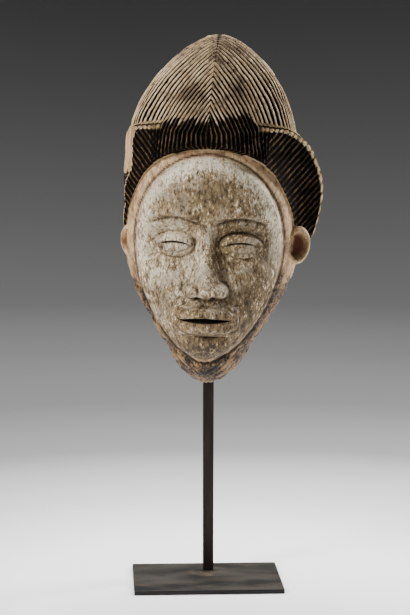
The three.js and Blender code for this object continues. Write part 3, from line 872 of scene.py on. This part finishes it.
def face_finish():
    """Kaolin face with rubbed patches, warm skin around it and a dark mottled beard."""
    paint = Finish("whitened_face")
    oval = paint.stored("oval")
    beard = paint.stored("beard")
    upright = paint.stretched((1, 1, 0.5), (0, 0.3, 0))
    strokes = paint.cloud(0.0042, 6.0, 0.7, upright)
    flecks = paint.cloud(0.0018, 4.0, 0.75, upright)
    patches = paint.cloud(0.017, 8.0, 0.68)
    wide = paint.cloud(0.045, 3.0, 0.55)
    # The stored bare value is partly rubbed-off clay and partly painted shade and painted light
    bare = paint.stored("bare")
    cover = patches * 0.5 + strokes * 0.25 + wide * 0.25 - bare * 0.18
    kaolin = paint.blend(KAOLIN_GREY, KAOLIN_WHITE, paint.between(cover * 0.5 + flecks * 0.5, 0.475, 0.6))
    less_rubbed = paint.between(flecks * 0.5 + strokes * 0.5 - bare * 0.06, 0.38, 0.55)
    rubbed = paint.blend(RUBBED_DARK, RUBBED_TAN, less_rubbed)
    white = paint.blend(rubbed, kaolin, paint.between(cover + (flecks - 0.5) * 0.4, 0.45, 0.56))
    white = paint.blend(white, RUBBED_DARK, paint.between(patches * 0.4 + flecks * 0.6, 0.53, 0.6) * 0.8)
    bright = flecks * 0.45 + strokes * 0.35 + (1 - patches) * 0.2 - bare * 0.03
    white = paint.blend(white, KAOLIN_WHITE, paint.between(bright, 0.545, 0.585))
    skin = paint.blend(SKIN_DARK, SKIN_LIGHT, paint.between(strokes * 0.5 + patches * 0.5, 0.38, 0.6))
    skin = paint.blend(skin, SKIN_RED, paint.between(wide, 0.46, 0.62) * 0.3)
    skin = paint.blend(skin, RUBBED_DARK, paint.between(flecks * 0.5 + patches * 0.5, 0.53, 0.62) * 0.75)
    hair = paint.blend(BEARD_DARK, BEARD_LIGHT, paint.between(flecks * 0.45 + patches * 0.55, 0.46, 0.56))
    hair = paint.blend(hair, HAIR_BLACK, paint.stored("beard_cut") * 0.85)
    colour = paint.blend(white, skin, paint.between(oval + (patches - 0.5) * 0.06, 0.995, 1.03))
    colour = paint.blend(colour, hair, beard)
    # Painted shade: carved lines, nostrils, the eye slits and the mouth's cut faces are darkened toward the
    # beard's dark colour
    painted_line_shade = paint.between(paint.stored("line") + (flecks - 0.5) * 0.5, 0.15, 0.95) * 0.9
    colour = paint.blend(colour, BEARD_DARK, painted_line_shade)
    colour = paint.blend(colour, EAR_RED, paint.stored("bowl"))
    relief = strokes * 0.4 + flecks * 0.35 + paint.between(cover, 0.36, 0.56) * 0.25
    return paint.finish(colour, 0.6 + flecks * 0.2, relief, 0.0012, Specular_IOR_Level=0.3)


def bar_finish():
    """Dark brown lacquered bar."""
    paint = Finish("dark_bar")
    long_marks = paint.cloud(0.006, 4.0, 0.6, paint.stretched((1, 1, 0.12)))
    fine = paint.cloud(0.0012, 3.0, 0.6)
    colour = paint.blend(BAR_BLACK, BAR_BROWN, paint.between(long_marks, 0.35, 0.7))
    return paint.finish(colour, 0.42 + fine * 0.2, fine, 0.0001, Specular_IOR_Level=0.25)


def plate_finish(foot, front):
    """Dark steel plate with long cloudy stains, and pale scuffs round the bar's foot."""
    paint = Finish("stained_plate")
    along = paint.stretched((0.45, 1, 1), (0, 0, 0.12))
    clouds = paint.cloud(0.03, 5.0, 0.55, along, 0.4)
    stains = paint.cloud(0.012, 5.0, 0.65, along, 0.8)
    fine = paint.cloud(0.0012, 4.0, 0.7, along)
    wide = paint.cloud(0.07, 2.0, 0.5)
    colour = paint.blend(PLATE_BLACK, PLATE_GREY, paint.between(clouds, 0.4, 0.6))
    colour = paint.blend(colour, PLATE_GREEN, paint.between(wide, 0.48, 0.62) * 0.5)
    colour = paint.blend(colour, PLATE_RUST, paint.between(stains, 0.48, 0.7) * 0.5)
    away = paint.node("ShaderNodeVectorMath", {"operation": "DISTANCE"}, out="Value", Vector=paint.place,
                      Vector_001=foot)
    scuffed = (1 - paint.between(away, 0.006, 0.024)) * paint.between(stains * 0.4 + fine * 0.6, 0.47, 0.58)
    colour = paint.blend(colour, PLATE_SCUFF, scuffed * 0.6)
    scratched = paint.between(fine * 0.6 + stains * 0.4, 0.58, 0.68) * 0.4
    colour = paint.blend(colour, PLATE_SCRATCH, scratched)
    depth = paint.node("ShaderNodeSeparateXYZ", out="Y", Vector=paint.place)
    colour = paint.blend(PLATE_EDGE, colour, paint.between(depth, front, front + 0.003))
    return paint.finish(colour, 0.27 + clouds * 0.5, fine, 0.0001, Metallic=0.3, Specular_IOR_Level=0.35)


def mask_piece():
    """The whole carving as one closed mesh, cut and joined as the solid is."""
    fresh_wood = wood_finish("bare_wood", *FRESH_WOOD)
    old_wood = wood_finish("handled_wood", *OLD_WOOD)
    finishes = [hair_finish(), face_finish(), fresh_wood, old_wood]

    def coloured(mesh, finish):
        for material in finishes:
            mesh.materials.append(material)
        mesh.polygons.foreach_set("material_index", np.zeros(len(mesh.polygons), np.int32) + finish)
        fill_missing(mesh)
        return as_object(mesh)

    hair, head, bare, handled = 0, 1, 2, 3
    body = coloured(hair_body(), hair)
    split = split_off()
    apply_boolean(body, coloured(split, np.where(above_dark(split), bare, hair)), "DIFFERENCE")
    apply_boolean(body, coloured(head_body(), head), "UNION")
    for ear in EARS:
        apply_boolean(body, coloured(ear_body(*ear), head), "UNION")
    hollow = head_form("hollow", HOLLOW_COLUMNS, HOLLOW_RINGS, CHIN_WALL, HEAD_TOP - CROWN_WALL,
                       (RIM_WALL, FACE_WALL), True, False)
    apply_boolean(body, coloured(hollow, handled), "DIFFERENCE")
    eye_depth = float(through(HEAD_ROWS, EYE_Z)[1])
    for side in (-1, 1):
        place = (side * EYE_X, EYE_Z)
        cutter = lens(SLIT_HALF, SLIT_ARCH, SLIT_OPENING, -2 * eye_depth, -eye_depth / 2, place)
        apply_boolean(body, coloured(cutter, head), "DIFFERENCE")
    lips = -(float(through(HEAD_ROWS, MOUTH_Z)[1]) + LIP_REACH)
    cutter = lens(MOUTH_HALF, 0, MOUTH_OPENING, 2 * lips, lips + MOUTH_DEPTH, (0, MOUTH_Z))
    apply_boolean(body, coloured(cutter, head), "DIFFERENCE")
    behind = block("behind", (-400, 0, -400), (400, 400, 400))
    apply_boolean(body, coloured(behind, handled), "DIFFERENCE")
    for name, value in head_values(points_of(body.data)).items():
        keep_value(body.data, name, value)
    rod_low, rod_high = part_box("stand_rod")
    middle = (rod_low.x + rod_high.x) / 2
    back_plane = rod_high.y - BAR_SIDE - BAR_GAP - BAR_SIDE / 2 * math.tan(abs(MASK_TURN))
    placing = Matrix.Translation((middle, back_plane, MASK_LIFT)) @ Matrix.Rotation(MASK_TURN, 4, "Z")
    placing = placing @ Matrix.Rotation(MASK_LEAN, 4, "Y") @ Matrix.Scale(0.001, 4)
    body.data.transform(placing)
    body.name = "carved_mask"
    for polygon in body.data.polygons:
        polygon.use_smooth = True
    body.data.set_sharp_from_angle(angle=CREASE_ANGLE)
    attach(body, "root")
    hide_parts("mask")


def dress(node, material):
    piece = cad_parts[node]
    piece.data.materials.clear()
    piece.data.materials.append(material)


def plate_piece():
    """The stand's plate, with its edges slightly rounded by use."""
    low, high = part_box("stand_base")
    shape = bmesh.new()
    bmesh.ops.create_cube(shape, size=1)
    bmesh.ops.scale(shape, verts=shape.verts, vec=high - low)
    bmesh.ops.translate(shape, verts=shape.verts, vec=(high + low) / 2)
    bmesh.ops.bevel(shape, geom=shape.edges, offset=PLATE_ROUNDING, segments=3, profile=0.5, affect="EDGES",
                    material=-1)
    mesh = bpy.data.meshes.new("stand_plate")
    shape.to_mesh(mesh)
    shape.free()
    for polygon in mesh.polygons:
        polygon.use_smooth = polygon.area < 4 * PLATE_ROUNDING * max(high - low)
    rod_low, rod_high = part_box("stand_rod")
    foot = ((rod_low.x + rod_high.x) / 2, rod_high.y - BAR_SIDE - SCUFFS_BEFORE_BAR, high.z)
    mesh.materials.append(plate_finish(foot, low.y))
    piece = as_object(mesh)
    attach(piece, "root")
    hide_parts("stand_base")


def set_stage():
    """Pale floor that darkens outward in painted light falloff and sweeps up all round into a dark grey wall.
    """
    shape = bmesh.new()
    profile = [(0.0, 0.0), (FLOOR_RADIUS, 0.0)]
    bends = np.linspace(0.12, math.pi / 2, SWEEP_BENDS)
    profile += [(FLOOR_RADIUS + SWEEP * math.sin(a), SWEEP - SWEEP * math.cos(a)) for a in bends]
    profile.append((FLOOR_RADIUS + SWEEP, WALL_HEIGHT))
    line = [shape.verts.new((r, 0, z)) for r, z in profile]
    edges = [shape.edges.new(pair) for pair in zip(line, line[1:])]
    bmesh.ops.spin(shape, geom=line + edges, cent=(0, 0, 0), axis=(0, 0, 1), angle=2 * math.pi,
                   steps=SWEEP_STEPS, use_merge=True)
    bmesh.ops.remove_doubles(shape, verts=shape.verts, dist=1e-5)
    for face in shape.faces:
        face.smooth = True
    mesh = bpy.data.meshes.new("studio_sweep")
    shape.to_mesh(mesh)
    shape.free()
    paint = Finish("studio_paper")
    height = paint.node("ShaderNodeSeparateXYZ", out="Z", Vector=paint.place)
    level = paint.node("ShaderNodeVectorMath", {"operation": "MULTIPLY"}, Vector=paint.place,
                       Vector_001=(1, 1, 0))
    radius = paint.node("ShaderNodeVectorMath", {"operation": "LENGTH"}, out="Value", Vector=level)
    # Painted light falloff: the tone is white under the mask and changes with distance and height as the
    # studio light's fall would
    colour = paint.node("ShaderNodeValToRGB", {"stops": PAPER_AND_FALLOFF_TONES}, Fac=(radius + height) * 0.25)
    feed(paint.tree, paint.shader.inputs["Base Color"], colour)
    paint.shader.inputs["Roughness"].default_value = 0.9
    mesh.materials.append(paint.material)
    as_object(mesh)


def area_light(name, place, target, size, power):
    lamp = bpy.data.lights.new(name, "AREA")
    lamp.shape = "RECTANGLE"
    lamp.size, lamp.size_y = size
    lamp.energy = power
    holder = bpy.data.objects.new(name, lamp)
    bpy.context.scene.collection.objects.link(holder)
    holder.location = place
    holder.rotation_euler = (Vector(target) - Vector(place)).to_track_quat("-Z", "Y").to_euler()


def set_lights():
    for lamp in LAMPS:
        area_light(*lamp)
    world = bpy.data.worlds.new("studio")
    world.use_nodes = True
    world.node_tree.nodes["Background"].inputs["Color"].default_value = WORLD_COLOUR
    world.node_tree.nodes["Background"].inputs["Strength"].default_value = WORLD_STRENGTH
    bpy.context.scene.world = world


def set_camera():
    """The photograph's view: its place is measured from the middle of the plate."""
    low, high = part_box("stand_base")
    middle = (low + high) / 2
    lens_data = bpy.data.cameras.new("view")
    lens_data.sensor_fit = "VERTICAL"
    lens_data.sensor_height = SENSOR_HEIGHT
    lens_data.lens = SENSOR_HEIGHT / 2 / math.tan(VIEW_ANGLE / 2)
    camera = bpy.data.objects.new("view", lens_data)
    bpy.context.scene.collection.objects.link(camera)
    place = Matrix.Translation((middle.x + CAMERA_ACROSS, middle.y + CAMERA_BACK, CAMERA_HEIGHT))
    turn = Matrix.Rotation(CAMERA_TURN, 4, "Z")
    tilt = Matrix.Rotation(CAMERA_TILT, 4, "X")
    roll = Matrix.Rotation(CAMERA_ROLL, 4, "Z")
    camera.matrix_world = place @ turn @ tilt @ roll
    bpy.context.scene.camera = camera


set_camera()
set_lights()
set_stage()
mask_piece()
dress("stand_rod", bar_finish())
plate_piece()

bpy.context.view_layer.update()
